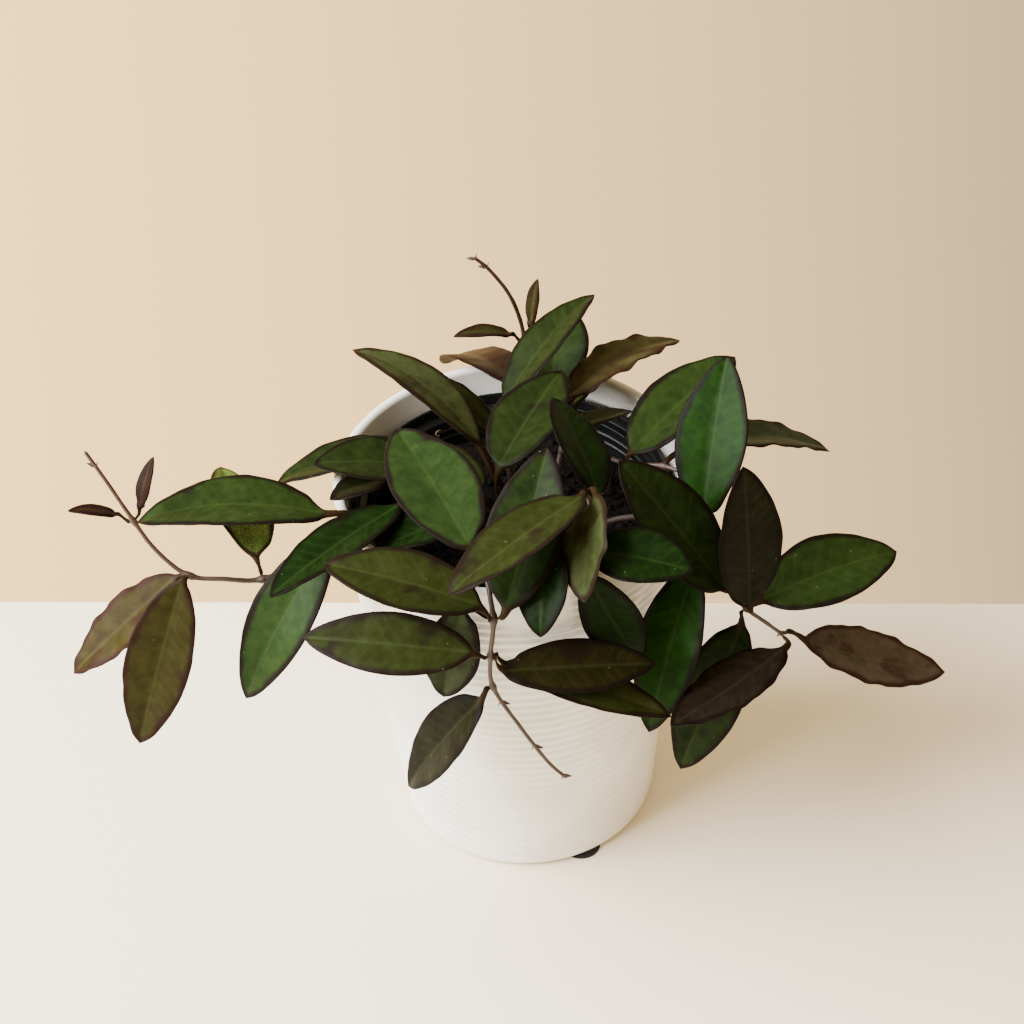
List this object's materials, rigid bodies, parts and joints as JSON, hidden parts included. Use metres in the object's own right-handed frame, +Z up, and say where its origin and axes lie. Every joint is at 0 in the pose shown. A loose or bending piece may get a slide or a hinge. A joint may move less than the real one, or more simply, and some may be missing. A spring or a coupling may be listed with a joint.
{
  "type": "potted hoya plant",
  "caption": "Trailing hoya with thick lance-shaped leaves in a black nursery pot, standing inside a tall tapered white ceramic cachepot with fine turned rings.",
  "frame": {"origin": "the cachepot's axis at table level, at the centre of the three foot pads", "axes": "+Z up along the cachepot's axis, +X towards the side where the right-hand stem trails (the left-hand stem trails to -X), -Y towards the viewer, where the front stem hangs over the rim"},
  "size_m": [0.341, 0.1802, 0.2414],
  "materials": {
    "cachepot_glaze": "satin white glaze",
    "foot_pad_rubber": "matte black rubber",
    "nursery_plastic": "semi-gloss black plastic",
    "potting_mix": "matte dark bark and peat",
    "stem_bark": "matte brown stem skin",
    "leaf_left": "waxy semi-gloss green leaf",
    "leaf_front": "waxy semi-gloss green leaf",
    "leaf_centre": "waxy semi-gloss green leaf",
    "leaf_top": "waxy semi-gloss green leaf",
    "leaf_back": "waxy semi-gloss green leaf",
    "leaf_right": "waxy semi-gloss green leaf"
  },
  "bodies": {
    "root": {"cachepot": "cachepot_glaze", "foot_pad_1": "foot_pad_rubber", "foot_pad_2": "foot_pad_rubber", "foot_pad_3": "foot_pad_rubber", "leaf_back_1": "leaf_back", "leaf_back_2": "leaf_back", "leaf_back_3": "leaf_back", "leaf_back_4": "leaf_back", "leaf_back_5": "leaf_back", "leaf_back_6": "leaf_back", "leaf_centre_1": "leaf_centre", "leaf_centre_2": "leaf_centre", "leaf_centre_3": "leaf_centre", "leaf_centre_4": "leaf_centre", "leaf_centre_5": "leaf_centre", "leaf_centre_6": "leaf_centre", "leaf_front_1": "leaf_front", "leaf_front_10": "leaf_front", "leaf_front_11": "leaf_front", "leaf_front_2": "leaf_front", "leaf_front_3": "leaf_front", "leaf_front_4": "leaf_front", "leaf_front_5": "leaf_front", "leaf_front_6": "leaf_front", "leaf_front_7": "leaf_front", "leaf_front_8": "leaf_front", "leaf_front_9": "leaf_front", "leaf_left_1": "leaf_left", "leaf_left_10": "leaf_left", "leaf_left_11": "leaf_left", "leaf_left_2": "leaf_left", "leaf_left_3": "leaf_left", "leaf_left_4": "leaf_left", "leaf_left_5": "leaf_left", "leaf_left_6": "leaf_left", "leaf_left_7": "leaf_left", "leaf_left_8": "leaf_left", "leaf_left_9": "leaf_left", "leaf_right_1": "leaf_right", "leaf_right_2": "leaf_right", "leaf_right_3": "leaf_right", "leaf_right_4": "leaf_right", "leaf_right_5": "leaf_right", "leaf_right_6": "leaf_right", "leaf_right_7": "leaf_right", "leaf_top_1": "leaf_top", "leaf_top_2": "leaf_top", "leaf_top_3": "leaf_top", "leaf_top_4": "leaf_top", "leaf_top_5": "leaf_top", "leaf_top_6": "leaf_top", "leaf_top_7": "leaf_top", "nursery_pot": "nursery_plastic", "soil": "potting_mix", "stem_back": "stem_bark", "stem_centre": "stem_bark", "stem_front": "stem_bark", "stem_left": "stem_bark", "stem_right": "stem_bark", "stem_top": "stem_bark"}
  },
  "joints": []
}
